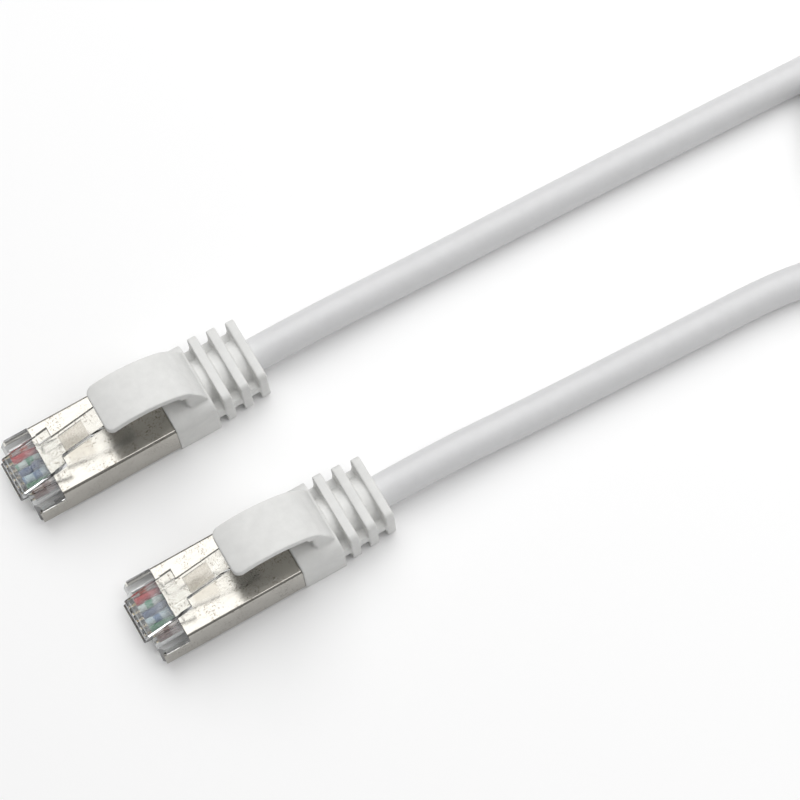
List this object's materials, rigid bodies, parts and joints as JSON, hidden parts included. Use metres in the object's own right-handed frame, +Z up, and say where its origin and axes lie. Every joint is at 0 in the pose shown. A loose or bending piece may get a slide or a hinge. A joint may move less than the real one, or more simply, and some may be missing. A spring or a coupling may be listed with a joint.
{
  "type": "ethernet patch cable",
  "caption": "Round shielded patch cable with a clear latched modular plug and a ribbed snagless boot at each end, its spare length wound in a tied coil.",
  "frame": {"origin": "on the surface under the middle of the two plugs' bounding box", "axes": "+X from the plug noses along the cable, +Y to plug A, +Z up, away from the surface"},
  "size_m": [0.1927, 0.0653, 0.015],
  "materials": {
    "clear_polycarbonate": "clear, polished mould finish",
    "nickel_screen": "bright nickel plate over stamped sheet, fine pits",
    "gold_contact": "polished gold plate",
    "bare_copper": "bright drawn wire",
    "foil": "thin crinkled foil",
    "boot_vinyl": "soft moulded vinyl with a fine even grain",
    "cable_jacket": "smooth extruded vinyl, low sheen",
    "tie_fabric": "woven hook-and-loop tape",
    "insulation_white_orange": "thin polyethylene insulation",
    "insulation_orange": "thin polyethylene insulation",
    "insulation_white_green": "thin polyethylene insulation",
    "insulation_blue": "thin polyethylene insulation",
    "insulation_white_blue": "thin polyethylene insulation",
    "insulation_green": "thin polyethylene insulation",
    "insulation_white_brown": "thin polyethylene insulation",
    "insulation_brown": "thin polyethylene insulation"
  },
  "bodies": {
    "root": {"housing_a": "clear_polycarbonate", "shield_a": "nickel_screen", "load_bar_a": "clear_polycarbonate", "wire_cores_a": "bare_copper", "cable_jacket_end_a": "cable_jacket", "foil_wrap_a": "foil", "crimp_ferrule_a": "nickel_screen", "boot_a": "boot_vinyl", "contact_1_a": "gold_contact", "wire_1_a": "insulation_white_orange", "contact_2_a": "gold_contact", "wire_2_a": "insulation_orange", "contact_3_a": "gold_contact", "wire_3_a": "insulation_white_green", "contact_4_a": "gold_contact", "wire_4_a": "insulation_blue", "contact_5_a": "gold_contact", "wire_5_a": "insulation_white_blue", "contact_6_a": "gold_contact", "wire_6_a": "insulation_green", "contact_7_a": "gold_contact", "wire_7_a": "insulation_white_brown", "contact_8_a": "gold_contact", "wire_8_a": "insulation_brown", "housing_b": "clear_polycarbonate", "shield_b": "nickel_screen", "load_bar_b": "clear_polycarbonate", "wire_cores_b": "bare_copper", "cable_jacket_end_b": "cable_jacket", "foil_wrap_b": "foil", "crimp_ferrule_b": "nickel_screen", "boot_b": "boot_vinyl", "contact_1_b": "gold_contact", "wire_1_b": "insulation_white_orange", "contact_2_b": "gold_contact", "wire_2_b": "insulation_orange", "contact_3_b": "gold_contact", "wire_3_b": "insulation_white_green", "contact_4_b": "gold_contact", "wire_4_b": "insulation_blue", "contact_5_b": "gold_contact", "wire_5_b": "insulation_white_blue", "contact_6_b": "gold_contact", "wire_6_b": "insulation_green", "contact_7_b": "gold_contact", "wire_7_b": "insulation_white_brown", "contact_8_b": "gold_contact", "wire_8_b": "insulation_brown", "cable_run_a": "cable_jacket", "cable_run_b": "cable_jacket", "cable_coil": "cable_jacket", "coil_tie": "tie_fabric"},
    "latch_a": {"latch_a": "clear_polycarbonate"},
    "latch_guard_a": {"latch_guard_a": "boot_vinyl"},
    "latch_b": {"latch_b": "clear_polycarbonate"},
    "latch_guard_b": {"latch_guard_b": "boot_vinyl"}
  },
  "joints": [
    {"name": "guard_press_a", "type": "hinge", "parent": "root", "child": "latch_guard_a", "pos_m": [0.005, 0.01375, 0.0122], "axis": [0, -1, 0], "range_deg": [0, 12], "stiffness_Nm_per_rad": 0.02},
    {"name": "latch_press_a", "type": "hinge", "parent": "root", "child": "latch_a", "pos_m": [-0.02125, 0.01375, 0.00743], "axis": [0, 1, 0], "range_deg": [0, 10.5], "stiffness_Nm_per_rad": 0.02},
    {"name": "guard_press_b", "type": "hinge", "parent": "root", "child": "latch_guard_b", "pos_m": [0.0103, -0.01375, 0.0122], "axis": [0, -1, 0], "range_deg": [0, 12], "stiffness_Nm_per_rad": 0.02},
    {"name": "latch_press_b", "type": "hinge", "parent": "root", "child": "latch_b", "pos_m": [-0.01595, -0.01375, 0.00743], "axis": [0, 1, 0], "range_deg": [0, 10.5], "stiffness_Nm_per_rad": 0.02}
  ],
  "couplings": [
    {"joint": "latch_press_a", "follows": "guard_press_a", "ratio": 0.85},
    {"joint": "latch_press_b", "follows": "guard_press_b", "ratio": 0.85}
  ]
}
